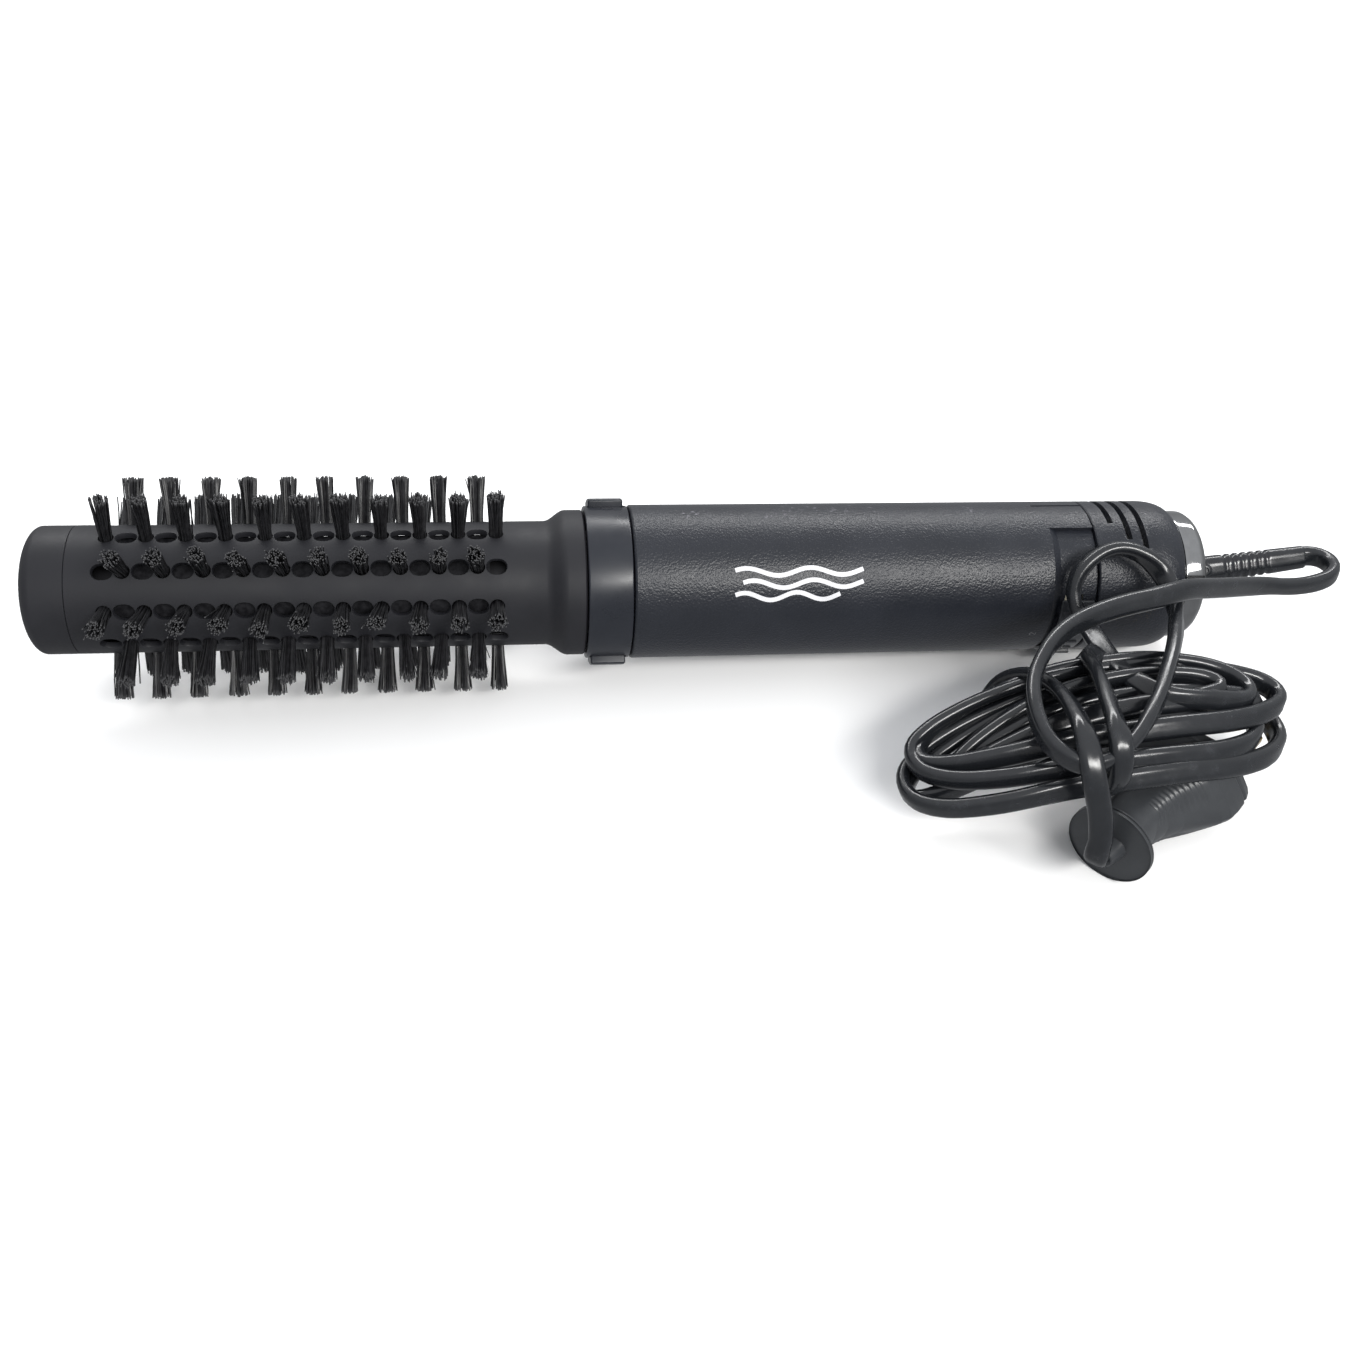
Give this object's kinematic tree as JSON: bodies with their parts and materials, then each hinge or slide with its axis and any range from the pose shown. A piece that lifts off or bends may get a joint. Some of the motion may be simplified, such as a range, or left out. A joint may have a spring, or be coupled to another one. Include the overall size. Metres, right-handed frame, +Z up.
{
  "type": "hot air styling brush",
  "caption": "Round hot-air styling brush on a cylindrical blower handle, with pull-off brush head, slide selector, chrome end ring, swivelling flat mains cord tied in a hank and a moulded plug.",
  "frame": {"origin": "middle of the styler's own box, cord and plug left out, on the surface that it lies on", "axes": "+X along the styler from the brush tip to the cord end, +Z up, -Y towards the cord and plug"},
  "size_m": [0.3467, 0.1228, 0.0611],
  "materials": {
    "barrel_plastic": "matte moulded plastic",
    "handle_soft_touch": "fine grained satin lacquer",
    "collar_plastic": "smooth satin",
    "button_plastic": "smooth satin",
    "slider_plastic": "semi gloss",
    "bristle_nylon": "nylon filament",
    "swivel_plastic": "satin",
    "cord_pvc": "glossy flexible PVC",
    "plug_pvc": "satin moulded PVC",
    "ivory_plastic": "matte",
    "component_black": "matte",
    "board": "matte laminate",
    "mica": "matte mineral sheet",
    "chrome": "polished",
    "aluminium": "mill",
    "spring_steel": "bright",
    "screen_steel": "dark woven screen",
    "motor_steel": "plated",
    "nichrome": "oxidised",
    "brass": "polished"
  },
  "bodies": {
    "handle": {"locking_collar": "collar_plastic", "outlet_nozzle": "barrel_plastic", "outlet_grille": "barrel_plastic", "handle_shell": "handle_soft_touch", "rear_housing": "handle_soft_touch", "intake_screen": "screen_steel", "chrome_ring": "chrome", "swivel_socket": "swivel_plastic", "heat_shield": "aluminium", "heater_former": "mica", "heater_coil": "nichrome", "thermostat": "spring_steel", "thermal_fuse": "spring_steel", "motor_can": "motor_steel", "motor_mount": "ivory_plastic", "control_board": "board", "rectifier": "component_black", "filter_capacitor": "ivory_plastic", "slide_switch": "ivory_plastic", "button_spring_upper": "spring_steel", "button_spring_lower": "spring_steel", "cord_lead": "cord_pvc", "cord_hank": "cord_pvc", "cord_loop": "cord_pvc", "cord_tail": "cord_pvc", "plug_body": "plug_pvc", "plug_pin_left": "brass", "plug_pin_right": "brass"},
    "brush": {"tip_cap": "barrel_plastic", "brush_barrel": "barrel_plastic", "air_guide_tube": "aluminium", "bristle_row_01": "bristle_nylon", "bristle_row_02": "bristle_nylon", "bristle_row_03": "bristle_nylon", "bristle_row_04": "bristle_nylon", "bristle_row_05": "bristle_nylon", "bristle_row_06": "bristle_nylon", "bristle_row_07": "bristle_nylon", "bristle_row_08": "bristle_nylon", "bristle_row_09": "bristle_nylon", "bristle_row_10": "bristle_nylon"},
    "upper_button": {"release_button_upper": "button_plastic"},
    "lower_button": {"release_button_lower": "button_plastic"},
    "selector": {"selector_slider": "slider_plastic"},
    "fan": {"fan_impeller": "ivory_plastic", "fan_shaft": "spring_steel"},
    "swivel": {"swivel_drum": "swivel_plastic", "strain_relief": "cord_pvc"}
  },
  "joints": [
    {"name": "brush_release", "type": "slide", "parent": "handle", "child": "brush", "axis": [-0.9989, 0, 0.0479], "range_m": [0, 0.06]},
    {"name": "upper_button_press", "type": "slide", "parent": "handle", "child": "upper_button", "axis": [-0.0377, -0.6157, -0.7871], "range_m": [0, 0.0015], "stiffness_N_per_m": 900, "springref_m": -0.0004, "deforming": ["button_spring_upper"]},
    {"name": "lower_button_press", "type": "slide", "parent": "handle", "child": "lower_button", "axis": [0.0377, 0.6157, 0.7871], "range_m": [0, 0.0015], "stiffness_N_per_m": 900, "springref_m": -0.0004, "deforming": ["button_spring_lower"]},
    {"name": "selector_turn", "type": "hinge", "parent": "handle", "child": "selector", "pos_m": [0.09466, 0, 0.02107], "axis": [-0.9989, 0, 0.0479], "range_deg": [0, 36]},
    {"name": "fan_spin", "type": "hinge", "parent": "handle", "child": "fan", "pos_m": [0.05071, 0, 0.02318], "axis": [0.9989, 0, -0.0479], "continuous": true},
    {"name": "cord_swivel", "type": "hinge", "parent": "handle", "child": "swivel", "pos_m": [0.13062, 0, 0.01935], "axis": [0.9989, 0, -0.0479], "range_deg": [-90, 90]}
  ]
}
